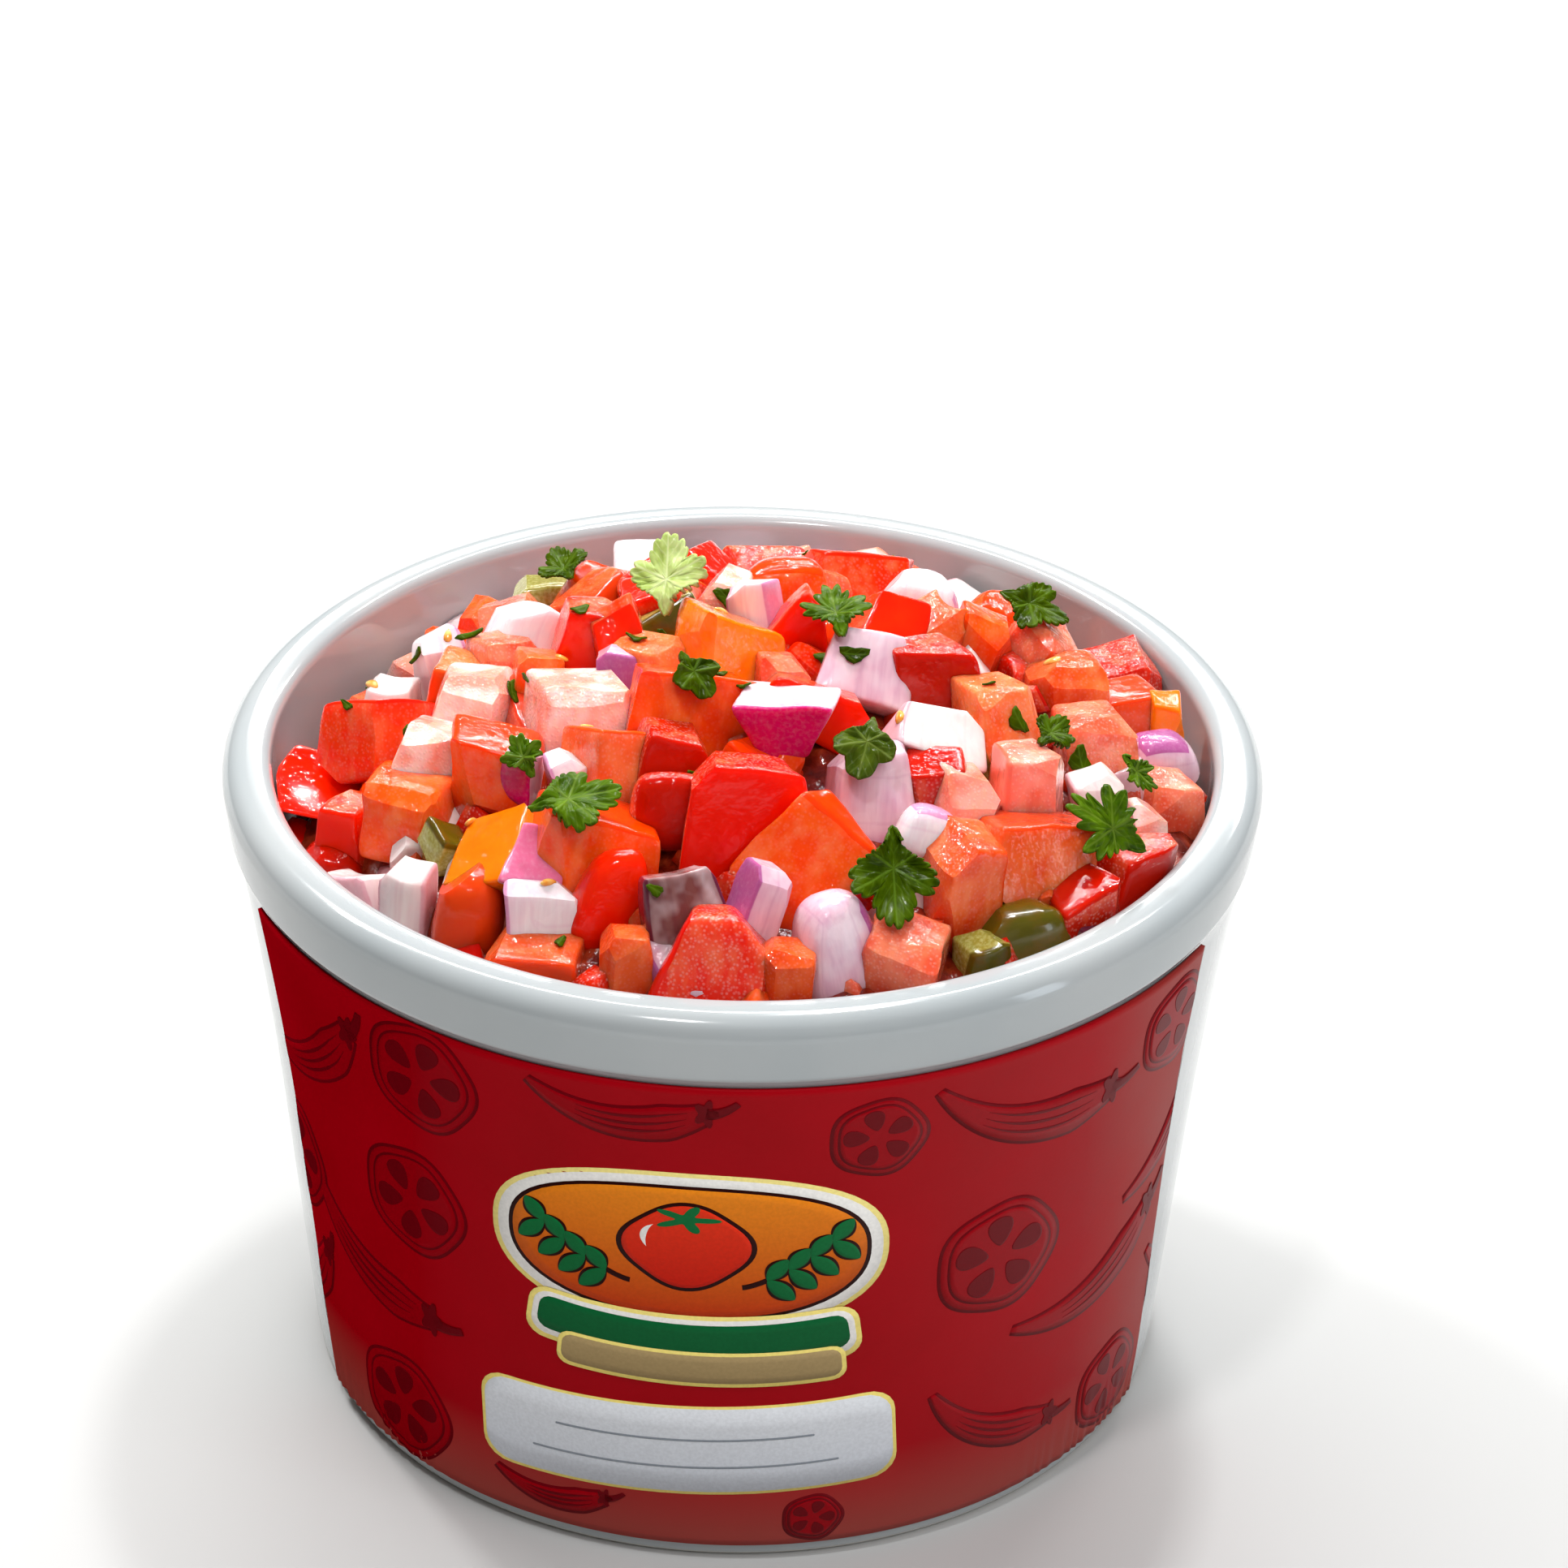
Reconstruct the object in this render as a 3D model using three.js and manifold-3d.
// Pico de gallo in a white glazed bowl with a red paper wrap label.
// Millimetres, +Z up. The origin is the centre of the foot, on the surface the bowl stands on.
// The salsa is one solid: a core that fills the bowl, with the diced pieces that show fused on.

import * as THREE from "three";
import { mergeVertices } from "three/addons/utils/BufferGeometryUtils.js";
import Module from "manifold-3d";

const wasm = await Module();
wasm.setup();

// Driving dimensions of the bowl
const HEIGHT = 77;
const RIM_RADIUS = 58.5;
const RIM_THICKNESS = 5.6;
const RIM_SHOULDER = 2.8;
const RIM_INNER_ROUND = 1.6;
const BAND_HEIGHT = 7.7;
const BAND_TAPER = 0.5;
const BAND_LIP = 1.3;
const BAND_LIP_FROM = -50;
const WALL_TOP_RADIUS = 56;
const WALL_FLARE = 1.4;
const WALL_FLARE_FROM = 34;
const WALL_FLARE_STEPS = 4;
const FOOT_RADIUS = 49.7;
const FOOT_ROUND = 1.2;
const FOOT_RING = 4.5;
const FOOT_RECESS = 1.2;
const WALL = 3.6;
const FLOOR = 5;
const FLOOR_FILLET = 6;
const BOWL_SIDES = 52;
const SMALL_ROUND_STEPS = 2;
const LARGE_ROUND_STEPS = 3;
const SHOULDER_STEPS = 4;

// Driving dimensions of the paper wrap label, which covers the front of the wall. Its ends are given
// in degrees round from the front, the right one at its top and at its bottom.
const LABEL_BOTTOM = 2.4;
const LABEL_TOP = 68.2;
const LABEL_THICKNESS = 0.35;
const LABEL_LEFT_END = 66;
const LABEL_RIGHT_END_TOP = 61;
const LABEL_RIGHT_END_BOTTOM = 66.5;
const LABEL_COLUMNS = 32;
const LABEL_ROWS = 3;

// Driving dimensions of the salsa
const GAP = 0.3;
const EDGE_LEVEL = -5.5;
const EDGE_TILT_RIGHT = 3.5;
const EDGE_TILT_FRONT = 3.5;
const PEAK = 15;
const PEAK_BACK = 2;
const MOUND_POWER = 0.75;
const CORE_DEPTH = 8;
const CORE_SIDE_DROP = 20;
const CORE_SIDES = 28;
const CORE_RINGS = 5;
const CORNER_FILL = 1.1;
const UNEVEN = 0.16;
const SEED = 20;
const STREAM_STEP = 0x6d2b79f5;
const GOLDEN_ANGLE = THREE.MathUtils.degToRad(137.508);
const MERGE_DISTANCE = 1e-3;

// Loose filling between the placed pieces: how many places are tried, and how deep each sits. The
// filling sinks further from the middle to the back, where the salsa slopes away.
const TOP_PLACES = 125;
const TOP_SINK = 4.4;
const LOW_PLACES = 20;
const LOW_SINK = 8.5;
const BACK_SINK = 2;
const BACK_SINK_FROM = 8;
const BACK_SINK_TO = 24;
const FILL_SMALL = 7;
const FILL_LARGE = 10.5;
const FILL_CLEARANCE = 0.72;
const FILL_WALL_ROOM = 0.33;
const FILL_LEAN = 25;
const FILL_DICE_SHARE = 0.7;

// Driving dimensions of the coriander leaves
const LEAF_THICKNESS = 0.4;
const LEAF_GAP = 0.32;
const LEAF_SPOKES = 18;
const LEAF_RINGS = 2;
const LEAF_SAG = 0.55;
const LEAF_SAMPLE = 1.2;
const LEAF_STEP = 0.1;
const LEAF_WAVE = 0.45;
const LEAF_WAVES = 6;

// A leaf's edge, as shares of half its length, at even steps from its tip round to its stem
const LEAF_OUTLINE = [1, 0.86, 0.62, 0.8, 0.76, 0.6, 0.46, 0.4, 0.42, 0.7];

// How a knife leaves each kind of piece: edge is how square its corners are (2 is a ball), taper
// narrows the top in width and depth, bow bends it like a layer of onion, and steps is how many
// faces it has across its width, depth and height.
const CUTS = {
  dice: { edge: 6, taper: [0.08, 0.08], bow: 0, steps: [1, 1, 1] },
  block: { edge: 9, taper: [0.1, 0], bow: 0, steps: [1, 1, 1] },
  wedge: { edge: 8, taper: [0.1, 0.75], bow: 0, steps: [1, 1, 1] },
  keel: { edge: 8, taper: [-0.45, -0.3], bow: 0, steps: [1, 1, 1] },
  peak: { edge: 5, taper: [0.6, 0.3], bow: 0, steps: [1, 1, 1] },
  plump: { edge: 2.8, taper: [0.15, 0.1], bow: 0, steps: [2, 2, 2] },
  slab: { edge: 8, taper: [0.12, 0], bow: 0.45, steps: [2, 1, 1] },
};

// The pieces that show, each as [cut, centre, width depth height, degrees of pitch roll yaw],
// where pitch leans the top to the front, roll leans it right and yaw turns the front right.
const PIECES = [
  // front, against the wall, from left to right
  ["slab", [-41, -27, 71], [7, 5, 8], [-10, -15, -35]],
  ["slab", [-36, -31, 73], [6, 4, 11], [-8, 4, -20]],
  ["plump", [-29, -34, 74], [8, 8, 12], [0, 8, -10]],
  ["dice", [-21, -37, 77], [8, 6, 7], [-15, 3, 5]],
  ["wedge", [-22, -32, 80], [6, 5, 7], [-40, 15, 0]],
  ["block", [-22, -41, 73], [11, 8, 6], [10, 0, -10]],
  ["plump", [-14, -37, 78], [8, 6, 13], [-12, 14, 10]],
  ["dice", [-12, -44, 75], [6, 6, 8], [0, 5, 0]],
  ["slab", [-6, -41, 79], [9, 4, 11], [-15, -10, 20]],
  ["peak", [-2, -44, 76], [12, 9, 12], [-5, 0, 0]],
  ["dice", [2, -40, 80], [5, 5, 9], [-10, 18, 15]],
  ["dice", [5, -46, 75], [6, 6, 8], [0, 0, 0]],
  ["plump", [10, -43, 77], [9, 8, 12], [-5, -8, 25]],
  ["dice", [17, -43, 75], [9, 8, 9], [0, 10, -10]],
  ["block", [23, -35, 78], [8, 8, 16], [-5, 8, 25]],
  ["plump", [30, -37, 75], [10, 7, 7], [0, 0, 30]],
  ["slab", [26, -41, 74], [6, 4, 7], [0, -10, 20]],
  ["block", [31, -28, 79], [14, 10, 9], [-20, 6, 20]],
  ["dice", [42, -24, 74], [9, 8, 10], [5, 10, 30]],
  ["dice", [36, -32, 74], [8, 8, 10], [0, -10, 35]],
  ["dice", [37, -35, 72], [6, 5, 7], [0, 10, 40]],
  // left front slope
  ["wedge", [-26, -29, 79], [10, 5, 10], [-50, -25, -20]],
  ["block", [-16, -30, 78.5], [14, 10, 13], [-10, 10, 10]],
  ["dice", [-27, -17, 82], [10, 9, 10], [-10, 0, -10]],
  ["dice", [-34, -12, 80], [8, 8, 9], [-20, 10, -20]],
  ["block", [-40, -2, 77], [12, 10, 9], [-30, -20, -25]],
  ["wedge", [-46, -1, 71], [12, 9, 6], [-20, 10, -10]],
  ["dice", [-36, -18, 77], [10, 9, 9], [-10, 0, -20]],
  ["dice", [-43, -16, 73], [6, 6, 9], [-10, -5, -30]],
  ["plump", [-45, -17, 69], [8, 8, 8], [0, 0, 0]],
  ["dice", [-32, -25, 77], [5, 5, 5], [0, 20, 30]],
  // middle front slope
  ["plump", [-7, -26, 83], [10, 8, 9], [-25, 0, 0]],
  ["block", [0, -29, 83], [13, 7, 15], [-14, 12, 8]],
  ["wedge", [8, -32, 81], [11, 9, 12], [-10, 25, -30]],
  ["plump", [20, -31, 84], [7, 5, 6], [-20, 20, 10]],
  ["dice", [24, -23, 82], [8, 8, 9], [0, 10, 20]],
  ["dice", [31, -19, 82], [8, 8, 10], [-10, 5, 20]],
  ["slab", [14, -23, 84], [9, 6, 11], [-20, 5, 10]],
  ["wedge", [21, -14, 86], [11, 4.5, 6.5], [-35, 25, 15]],
  ["keel", [5, -16, 88], [8, 6, 7.5], [-10, -8, -10]],
  ["dice", [21, -21, 83], [7, 7, 8], [-5, 0, 0]],
  ["dice", [-8, -19, 85], [8, 8, 8], [0, 10, 10]],
  ["block", [-13, -19, 84], [11, 8, 9], [-20, 10, 25]],
  ["dice", [-19, -21, 84], [4, 4, 6], [0, -10, 20]],
  ["dice", [-24, -20, 84], [4, 4, 7], [0, 10, -20]],
  // crown
  ["block", [-6, -11, 87], [14, 9, 9], [-15, 12, 15]],
  ["block", [-2, -2, 89], [11, 9, 9], [-20, 30, 20]],
  ["dice", [-17, -9, 84.5], [13, 9.5, 9.5], [-15, 0, 8]],
  ["dice", [-14, -3, 87], [5, 5, 6], [-10, 0, 0]],
  ["block", [-18, 4, 87], [6.5, 6, 9], [-5, 15, 0]],
  ["wedge", [-14, 2, 88], [6, 6, 9], [-10, -10, 10]],
  ["slab", [1, 7, 89], [6, 4, 9], [-5, -5, -15]],
  ["peak", [6, 5, 88], [7, 6, 10], [-5, 25, 0]],
  ["wedge", [16, 9, 87], [8, 7, 7], [-20, 30, 10]],
  ["slab", [13, -4, 88], [10, 5, 8], [-45, 20, 10]],
  ["dice", [4, -6, 88], [5.5, 5, 6], [-10, 10, 20]],
  ["block", [8, -11, 87], [14, 6, 6], [-20, 20, -5]],
  ["dice", [21, -2, 86], [10, 8, 10], [-10, 0, 15]],
  // left back
  ["slab", [-40, 8, 77], [6, 5, 4], [-10, 5, -10]],
  ["dice", [-35, 12, 79], [6, 6, 8], [-10, -10, 15]],
  ["dice", [-30, -3, 82], [9, 8, 9], [-20, 5, -10]],
  ["slab", [-23, 12, 82], [12, 8, 8], [-25, 25, 0]],
  ["dice", [-27, 7, 82], [8, 8, 7], [-10, 0, 20]],
  ["dice", [-23, 0, 84], [6, 6, 7], [-10, 10, 0]],
  ["dice", [-27, 23, 78], [8, 8, 7], [-10, -10, 0]],
  ["dice", [-42, 14, 70], [6, 7, 8], [-10, 0, 30]],
  // back
  ["plump", [4, 21, 84], [11, 9, 9], [-10, 0, 10]],
  ["dice", [-2, 16, 85], [6, 8, 8], [-10, 0, -10]],
  ["wedge", [13, 28, 82], [13, 9, 8], [-10, 10, 10]],
  ["dice", [9, 23, 83], [6, 6, 6], [-10, 10, 20]],
  ["plump", [20, 19, 84], [9.5, 7, 8], [-10, 20, 0]],
  ["dice", [27, 12, 83], [7, 6, 7], [-10, 20, 0]],
  ["plump", [31, 27, 77], [12, 8, 7], [0, 15, -10]],
  // right
  ["dice", [36, 6, 80], [9, 8, 8], [-5, 10, 10]],
  ["dice", [43, 8, 75], [9, 8, 9], [-10, 5, 15]],
  ["dice", [28, -8, 85], [8, 8, 8], [-15, 0, 25]],
  ["dice", [39, -7, 80], [9, 8.5, 9.5], [-15, 10, 20]],
  ["dice", [48, 6, 76], [4, 5, 8], [0, 0, 0]],
  ["plump", [47, -2, 76], [8, 7, 8], [0, 0, 20]],
  ["dice", [47, -9, 74], [7, 6, 8], [0, 0, 25]],
  ["dice", [39, -16, 79], [6, 5, 7], [-10, -10, 20]],
  ["dice", [44, -17, 76], [4, 4, 7], [0, 0, 30]],
];

// The leaves that lie on the pieces: [place, length, turn in its own plane, pitch and roll]
const LEAVES = [
  [[16, -38], 14, -80, [58, 12]],
  [[-18, -30], 13, 10, [30, -10]],
  [[13, -23], 10, -100, [35, 5]],
  [[39, -26], 14, 170, [45, 20]],
  [[10, 0], 12, 100, [30, 0]],
  [[32, 15], 11, -20, [22, 10]],
  [[-8, 9], 13, 80, [50, -15]],
  [[-21, 25], 9, 110, [30, -10]],
  [[-6, -12], 8, -50, [35, 10]],
  [[33, -14], 7, 60, [40, 20]],
  [[-23, -21], 7, 95, [45, -25]],
  [[43, -14], 7, -30, [35, 20]],
];

const CERAMIC = new THREE.MeshStandardMaterial({ color: 0xf1f2f3, roughness: 0.12, metalness: 0 });
const LABEL_PAPER = new THREE.MeshStandardMaterial({ color: 0x8e0c1c, roughness: 0.38, metalness: 0 });
const SALSA = new THREE.MeshStandardMaterial({ color: 0xd8452a, roughness: 0.22, metalness: 0 });
const CORIANDER = new THREE.MeshStandardMaterial({ color: 0x3c6b22, roughness: 0.4, metalness: 0 });

/** A repeatable stream of numbers from 0 to 1. */
function seededStream(seed) {
  let state = seed;
  return () => {
    state = (state + STREAM_STEP) | 0;
    let mixed = Math.imul(state ^ (state >>> 15), 1 | state);
    mixed = (mixed + Math.imul(mixed ^ (mixed >>> 7), 61 | mixed)) ^ mixed;
    return ((mixed ^ (mixed >>> 14)) >>> 0) / 2 ** 32;
  };
}

/** Points of a quarter round about a centre, from one angle to another, in degrees. */
function arc(centreX, centreY, radius, from, to, steps) {
  return Array.from({ length: steps + 1 }, (_, i) => {
    const angle = THREE.MathUtils.degToRad(from + ((to - from) * i) / steps);
    return new THREE.Vector2(centreX + radius * Math.cos(angle), centreY + radius * Math.sin(angle));
  });
}

/** Radius of the bowl's outer wall at a height: a taper that flares gently towards the band. */
function outerRadius(z) {
  const top = HEIGHT - BAND_HEIGHT;
  const flare = WALL_FLARE * Math.max(0, (z - WALL_FLARE_FROM) / (top - WALL_FLARE_FROM)) ** 2;
  return THREE.MathUtils.mapLinear(z, 0, top, FOOT_RADIUS, WALL_TOP_RADIUS) + flare;
}

/** Radius of the bowl's inner wall at a height. */
function innerRadius(z) {
  const top = HEIGHT - BAND_HEIGHT;
  return THREE.MathUtils.mapLinear(z, 0, top, FOOT_RADIUS - WALL, WALL_TOP_RADIUS - WALL);
}

/** A turned solid: the profile, given as radius and height, is spun about Z. */
function turned(profile, sides) {
  const geometry = new THREE.LatheGeometry(profile, sides);
  geometry.rotateX(Math.PI / 2);
  return geometry;
}

/** A geometry as a solid: only positions, shared vertices merged, and no triangle of zero area. */
function toSolid(geometry) {
  const bare = new THREE.BufferGeometry();
  bare.setAttribute("position", geometry.getAttribute("position").clone());
  bare.setIndex(geometry.getIndex());
  const merged = mergeVertices(bare, MERGE_DISTANCE);
  const corners = merged.getIndex().array;
  const kept = [];
  for (let i = 0; i < corners.length; i += 3) {
    const [a, b, c] = corners.slice(i, i + 3);
    if (a !== b && b !== c && c !== a) {
      kept.push(a, b, c);
    }
  }
  return new wasm.Manifold(
    new wasm.Mesh({
      numProp: 3,
      vertProperties: new Float32Array(merged.getAttribute("position").array),
      triVerts: new Uint32Array(kept),
    }),
  );
}

/** The outer skin of a solid alone: hollows that joining has closed are filled, loose scraps dropped. */
function outerSkin(solid) {
  const { vertProperties, triVerts } = solid.getMesh();
  const shell = Array.from({ length: vertProperties.length / 3 }, (_, i) => i);
  const shellOf = (corner) => {
    let top = corner;
    while (shell[top] !== top) {
      shell[top] = shell[shell[top]];
      top = shell[top];
    }
    return top;
  };
  for (let i = 0; i < triVerts.length; i += 3) {
    shell[shellOf(triVerts[i + 1])] = shellOf(triVerts[i]);
    shell[shellOf(triVerts[i + 2])] = shellOf(triVerts[i]);
  }
  const counts = new Map();
  for (const corner of triVerts) {
    counts.set(shellOf(corner), (counts.get(shellOf(corner)) ?? 0) + 1);
  }
  const largest = [...counts].sort((a, b) => b[1] - a[1])[0][0];
  const geometry = new THREE.BufferGeometry();
  geometry.setAttribute("position", new THREE.BufferAttribute(new Float32Array(vertProperties), 3));
  geometry.setIndex([...triVerts].filter((corner) => shellOf(corner) === largest));
  return geometry;
}

/** Moves every vertex of a geometry to where a function puts it. */
function reshape(geometry, place) {
  const positions = geometry.getAttribute("position");
  const point = new THREE.Vector3();
  for (let i = 0; i < positions.count; i += 1) {
    point.fromBufferAttribute(positions, i);
    place(point);
    positions.setXYZ(i, point.x, point.y, point.z);
  }
  return geometry;
}

/** The bowl: foot ring, tapered wall, thick rounded band at the rim, and a smooth inside. */
function bowlGeometry() {
  const bandBottom = HEIGHT - BAND_HEIGHT;
  const bandRadius = RIM_RADIUS - BAND_TAPER;
  const lipCentre = bandRadius - BAND_LIP;
  const flareTop = bandBottom - BAND_LIP;
  const shoulderCentre = RIM_RADIUS - RIM_SHOULDER;
  const mouthCentre = RIM_RADIUS - RIM_THICKNESS + RIM_INNER_ROUND;
  const filletCentre = innerRadius(FLOOR + FLOOR_FILLET) - FLOOR_FILLET;
  const profile = [
    new THREE.Vector2(0, FOOT_RECESS),
    new THREE.Vector2(FOOT_RADIUS - FOOT_RING - FOOT_RECESS, FOOT_RECESS),
    new THREE.Vector2(FOOT_RADIUS - FOOT_RING, 0),
    ...arc(FOOT_RADIUS - FOOT_ROUND, FOOT_ROUND, FOOT_ROUND, -90, 0, SMALL_ROUND_STEPS),
    ...Array.from({ length: WALL_FLARE_STEPS + 1 }, (_, i) => {
      const z = THREE.MathUtils.lerp(WALL_FLARE_FROM, flareTop, i / WALL_FLARE_STEPS);
      return new THREE.Vector2(outerRadius(z), z);
    }),
    ...arc(lipCentre, bandBottom + BAND_LIP / 2, BAND_LIP, BAND_LIP_FROM, 0, SMALL_ROUND_STEPS),
    ...arc(shoulderCentre, HEIGHT - RIM_SHOULDER, RIM_SHOULDER, 0, 90, SHOULDER_STEPS),
    ...arc(mouthCentre, HEIGHT - RIM_INNER_ROUND, RIM_INNER_ROUND, 90, 180, LARGE_ROUND_STEPS),
    new THREE.Vector2(innerRadius(bandBottom), bandBottom),
    ...arc(filletCentre, FLOOR + FLOOR_FILLET, FLOOR_FILLET, 0, -90, LARGE_ROUND_STEPS),
    new THREE.Vector2(0, FLOOR),
  ];
  return turned(profile, BOWL_SIDES);
}

/** The paper label: a thin sheet bent round the front of the wall, its right end cut on a slant. */
function labelGeometry() {
  const sheet = new THREE.BoxGeometry(2, 1, 1, LABEL_COLUMNS, 1, LABEL_ROWS);
  return reshape(sheet, (point) => {
    const height = point.z + 0.5;
    const z = THREE.MathUtils.lerp(LABEL_BOTTOM, LABEL_TOP, height);
    const rightEnd = THREE.MathUtils.lerp(LABEL_RIGHT_END_BOTTOM, LABEL_RIGHT_END_TOP, height);
    const end = point.x < 0 ? LABEL_LEFT_END : rightEnd;
    const angle = THREE.MathUtils.degToRad(point.x * end - 90);
    const radius = outerRadius(z) + GAP + LABEL_THICKNESS * (0.5 - point.y);
    point.set(radius * Math.cos(angle), radius * Math.sin(angle), z);
  });
}

/** Height of the mound's outline over a place: low at the wall, highest near the middle. */
function moundHeight(x, y) {
  const wall = innerRadius(HEIGHT - BAND_HEIGHT);
  const out = Math.min(Math.hypot(x, y) / wall, 1);
  const angle = Math.atan2(y, x);
  const edge = EDGE_LEVEL + EDGE_TILT_RIGHT * Math.cos(angle) - EDGE_TILT_FRONT * Math.sin(angle);
  const shifted = Math.hypot(x, y - PEAK_BACK * (1 - out * out)) / wall;
  const rise = Math.max(1 - shifted * shifted, 0) ** MOUND_POWER;
  return HEIGHT + edge + (PEAK - edge) * rise;
}

/** Brings a point that would cross the bowl's wall back to just inside it. */
function withinWall(point) {
  const room = innerRadius(point.z) - GAP;
  const out = Math.hypot(point.x, point.y);
  if (out > room) {
    point.x *= room / out;
    point.y *= room / out;
  }
  return point;
}

/** The core: it fills the bowl to its wall, and its top follows the mound, a piece's height lower. */
function coreGeometry() {
  const floor = FLOOR + GAP;
  const filletCentre = innerRadius(floor + FLOOR_FILLET) - GAP - FLOOR_FILLET;
  const wallTop = HEIGHT - CORE_SIDE_DROP;
  const topRadius = innerRadius(wallTop) - GAP;
  const rings = Array.from(
    { length: CORE_RINGS + 1 },
    (_, i) => new THREE.Vector2(topRadius * (1 - i / CORE_RINGS), HEIGHT),
  );
  const profile = [
    new THREE.Vector2(0, floor),
    ...arc(filletCentre, floor + FLOOR_FILLET, FLOOR_FILLET, -90, 0, LARGE_ROUND_STEPS),
    ...rings,
  ];
  return reshape(turned(profile, CORE_SIDES), (point) => {
    if (point.z > wallTop) {
      point.z = moundHeight(point.x, point.y) - CORE_DEPTH;
    }
  });
}

/** One diced piece: a box rounded, tapered and bent as its cut says, a little uneven, in its place. */
function pieceGeometry([cut, centre, size, turn], seed) {
  const random = seededStream(seed);
  const { edge, taper, bow, steps } = CUTS[cut];
  const uneven = Array.from({ length: 6 }, () => UNEVEN * (2 * random() - 1));
  const fill = steps[1] > 1 ? 1 : CORNER_FILL;
  const half = new THREE.Vector3(...size).multiplyScalar(fill / 2);
  const turned = new THREE.Euler(...turn.map(THREE.MathUtils.degToRad), "ZYX");
  const box = new THREE.BoxGeometry(2, 2, 2, ...steps);
  return reshape(box, (point) => {
    const spread = [point.x, point.y, point.z].reduce((sum, v) => sum + Math.abs(v) ** edge, 0);
    point.divideScalar(spread ** (1 / edge));
    const { x, y, z } = point;
    point.x = x * (1 - taper[0] * z + uneven[0] * y) + uneven[1] * z;
    point.y = y * (1 - taper[1] * z + uneven[2] * x) + uneven[3] * z - bow * (1 - x * x);
    point.z = z * (1 + uneven[4] * x + uneven[5] * y);
    point.multiply(half).applyEuler(turned);
    point.add(new THREE.Vector3(...centre));
    withinWall(point);
  });
}

/** Places for the filling between the placed pieces, spread evenly by the golden angle. */
function fillingPieces(places, sink, clearOfPlaced, random) {
  const filling = [];
  const lean = () => FILL_LEAN * (2 * random() - 1);
  for (let i = 0; i < places; i += 1) {
    const size = [0, 0, 0].map(() => THREE.MathUtils.lerp(FILL_SMALL, FILL_LARGE, random()));
    const turn = [lean(), lean(), 360 * random()];
    const cut = random() < FILL_DICE_SHARE ? "dice" : "slab";
    const room = innerRadius(HEIGHT - BAND_HEIGHT) - FILL_WALL_ROOM * size[0];
    const out = room * Math.sqrt((i + 0.5) / places);
    const x = out * Math.cos(i * GOLDEN_ANGLE);
    const y = out * Math.sin(i * GOLDEN_ANGLE);
    const near = ([, centre, placed]) =>
      Math.hypot(centre[0] - x, centre[1] - y) < (FILL_CLEARANCE * (placed[0] + size[0])) / 2;
    if (!clearOfPlaced || !PIECES.some(near)) {
      const further = BACK_SINK * THREE.MathUtils.smoothstep(y, BACK_SINK_FROM, BACK_SINK_TO);
      filling.push([cut, [x, y, moundHeight(x, y) - sink - further], size, turn]);
    }
  }
  return filling;
}

/** The salsa: the core with the filling and the placed pieces joined on. */
function salsaSolid() {
  const random = seededStream(SEED);
  const pieces = [
    ...PIECES,
    ...fillingPieces(TOP_PLACES, TOP_SINK, true, random),
    ...fillingPieces(LOW_PLACES, LOW_SINK, false, random),
  ];
  return pieces.reduce(
    (heap, piece, i) => heap.add(toSolid(pieceGeometry(piece, SEED + i))),
    toSolid(coreGeometry()),
  );
}

/** How far a leaf's edge lies from its middle, by the direction from its tip: the same either side. */
function leafReach(angle) {
  const fromTip = Math.abs(Math.atan2(Math.sin(angle), Math.cos(angle)));
  const along = (fromTip / Math.PI) * (LEAF_OUTLINE.length - 1);
  const step = Math.min(Math.floor(along), LEAF_OUTLINE.length - 2);
  return THREE.MathUtils.lerp(LEAF_OUTLINE[step], LEAF_OUTLINE[step + 1], along - step);
}

/** A thin closed blade: rings of points round a middle, with both faces split into triangles alike. */
function bladeGeometry(place) {
  const ringSize = LEAF_SPOKES;
  const faceSize = 1 + LEAF_RINGS * ringSize;
  const points = [];
  for (const lift of [0, LEAF_THICKNESS]) {
    points.push(place(0, 0, lift));
    for (let ring = 1; ring <= LEAF_RINGS; ring += 1) {
      for (let spoke = 0; spoke < ringSize; spoke += 1) {
        points.push(place(ring / LEAF_RINGS, (2 * Math.PI * spoke) / ringSize, lift));
      }
    }
  }
  const corners = [];
  const bothFaces = (a, b, c) => {
    corners.push(a, c, b, a + faceSize, b + faceSize, c + faceSize);
  };
  for (let spoke = 0; spoke < ringSize; spoke += 1) {
    const next = (spoke + 1) % ringSize;
    bothFaces(0, 1 + spoke, 1 + next);
    for (let ring = 1; ring < LEAF_RINGS; ring += 1) {
      const inner = 1 + (ring - 1) * ringSize;
      const outer = inner + ringSize;
      bothFaces(inner + spoke, outer + spoke, outer + next);
      bothFaces(inner + spoke, outer + next, inner + next);
    }
    const rim = 1 + (LEAF_RINGS - 1) * ringSize;
    const [low, lowNext] = [rim + spoke, rim + next];
    corners.push(low, lowNext, lowNext + faceSize, low, lowNext + faceSize, low + faceSize);
  }
  const geometry = new THREE.BufferGeometry().setFromPoints(points);
  geometry.setIndex(corners);
  return geometry;
}

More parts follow.
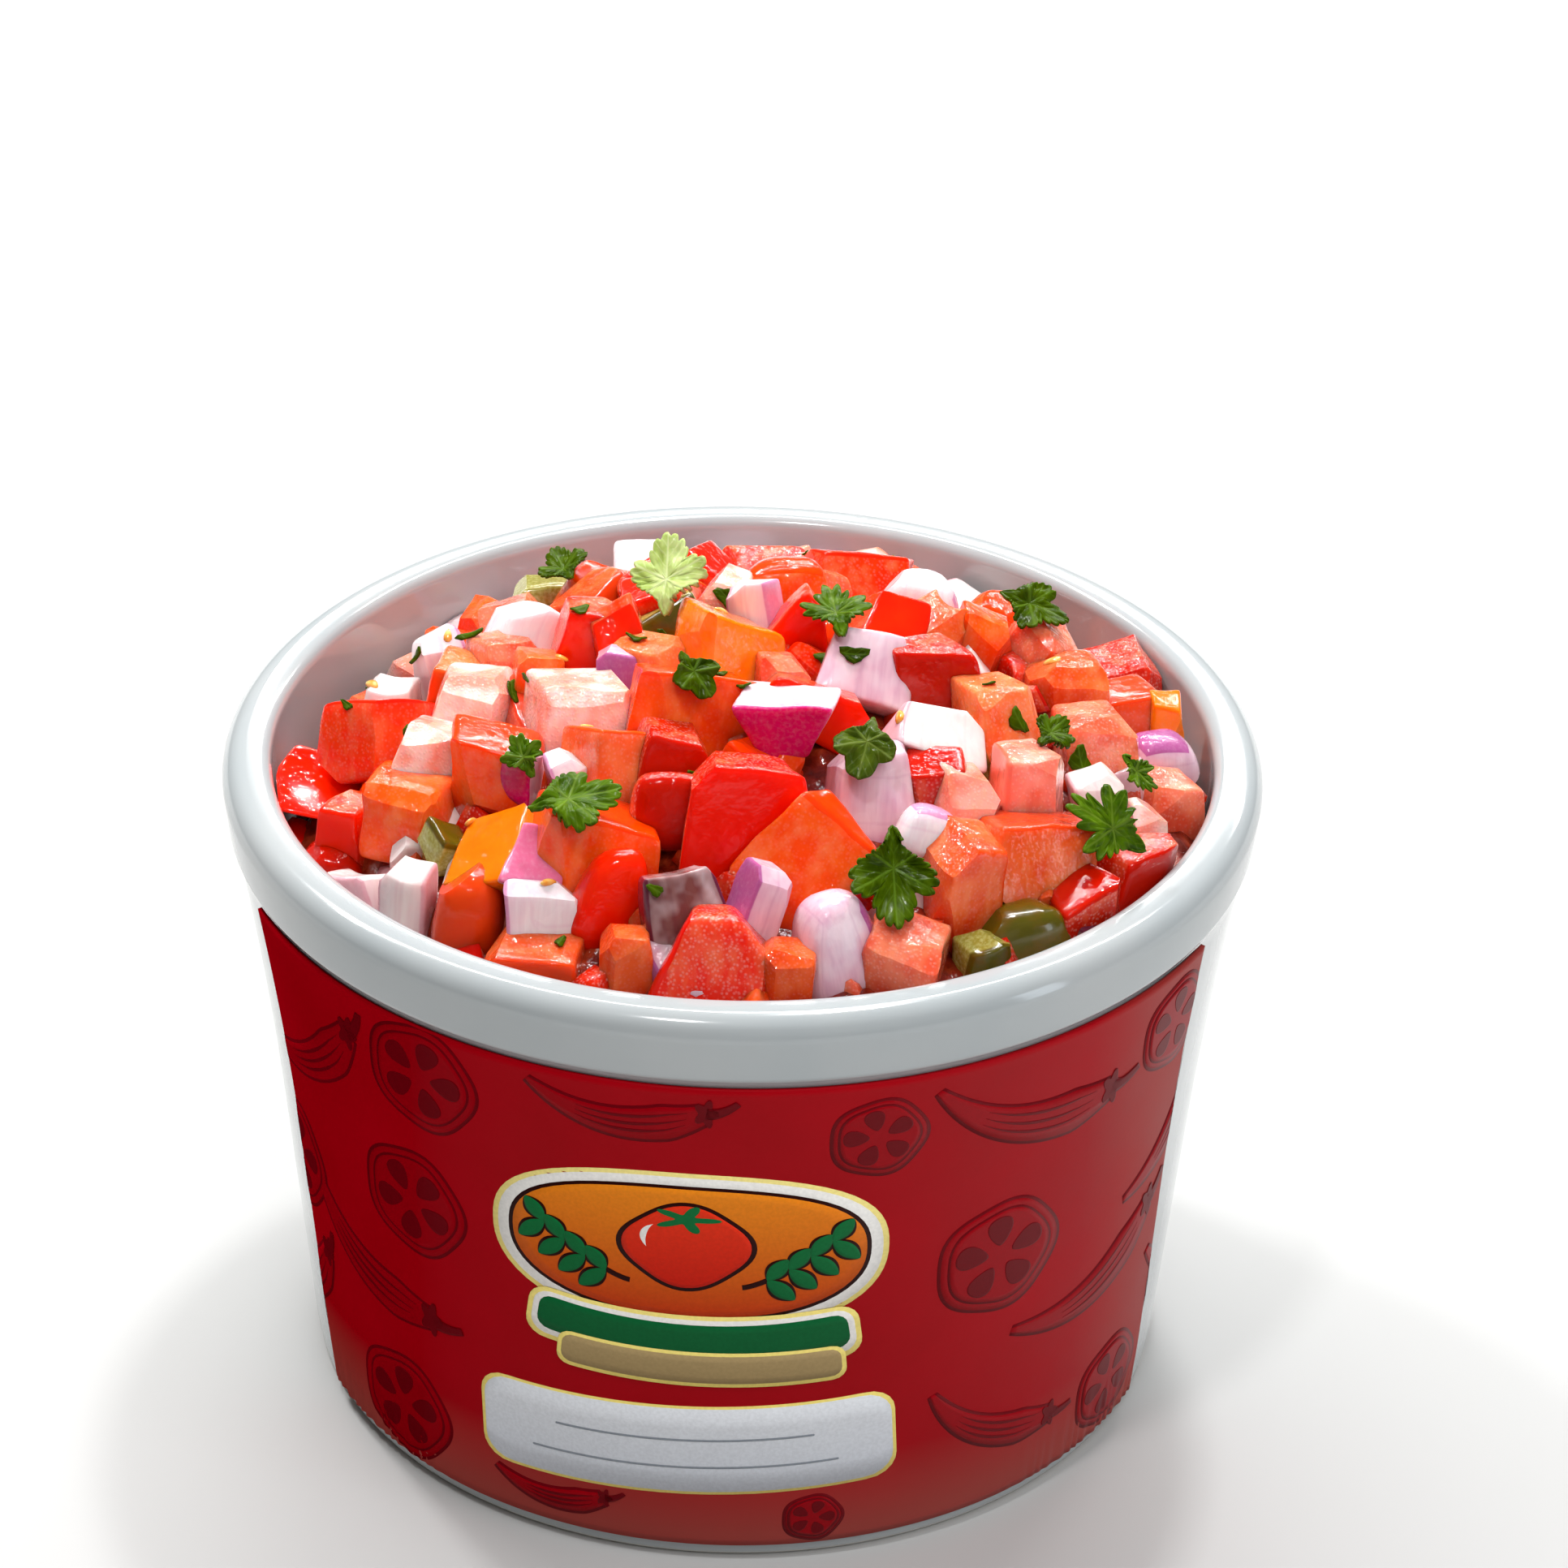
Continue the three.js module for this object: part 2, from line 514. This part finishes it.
/** A wavy leaf that rests on what lies under it, and sags only as far as its stiffness lets it. */
function leafGeometry([place, length, spin, tilt], support, heap) {
  const frame = new THREE.Matrix4().makeRotationFromEuler(
    new THREE.Euler(...[...tilt, 0].map(THREE.MathUtils.degToRad), "ZYX"),
  );
  frame.setPosition(...place, moundHeight(...place));
  const down = new THREE.Vector3(0, 0, -1).transformDirection(frame);
  const caster = new THREE.Raycaster();
  const half = length / 2;
  const above = 2 * length;
  const turnedBy = THREE.MathUtils.degToRad(spin);
  const bumps = [];
  for (let x = -length; x <= length; x += LEAF_SAMPLE) {
    for (let y = -length; y <= length; y += LEAF_SAMPLE) {
      const reach = leafReach(Math.atan2(y, x) - turnedBy) * half + LEAF_SAMPLE;
      if (Math.hypot(x, y) < reach) {
        caster.set(new THREE.Vector3(x, y, above).applyMatrix4(frame), down);
        const [hit] = caster.intersectObject(support);
        if (hit) {
          bumps.push([x, y, above - hit.distance]);
        }
      }
    }
  }
  const restHeight = (x, y) =>
    Math.max(...bumps.map(([u, v, rise]) => rise - LEAF_SAG * Math.hypot(x - u, y - v)));
  const local = (out, angle, lift) => {
    const reach = out * leafReach(angle) * half;
    const x = reach * Math.cos(angle + turnedBy);
    const y = reach * Math.sin(angle + turnedBy);
    const wave = LEAF_WAVE * out * (1 + Math.cos(LEAF_WAVES * angle));
    return new THREE.Vector3(x, y, restHeight(x, y) + wave + lift);
  };
  const liftedBlade = (raise) =>
    bladeGeometry((out, angle, lift) =>
      withinWall(local(out, angle, lift + raise).applyMatrix4(frame)),
    );
  let raise = 0;
  while (toSolid(liftedBlade(raise)).intersect(heap).getMesh().triVerts.length > 0) {
    raise += LEAF_STEP;
  }
  return liftedBlade(raise + LEAF_GAP);
}

/** A named mesh. */
function mesh(name, geometry, material) {
  const piece = new THREE.Mesh(geometry, material);
  piece.name = name;
  return piece;
}

const group = new THREE.Group();
group.add(mesh("bowl", bowlGeometry(), CERAMIC));
group.add(mesh("label", labelGeometry(), LABEL_PAPER));

const heap = salsaSolid();
const salsa = mesh("salsa_heap", outerSkin(heap), SALSA);
group.add(salsa);
LEAVES.forEach((leaf, i) => {
  const name = `leaf_${String(i + 1).padStart(2, "0")}`;
  group.add(mesh(name, leafGeometry(leaf, salsa, heap), CORIANDER));
});

export default group;
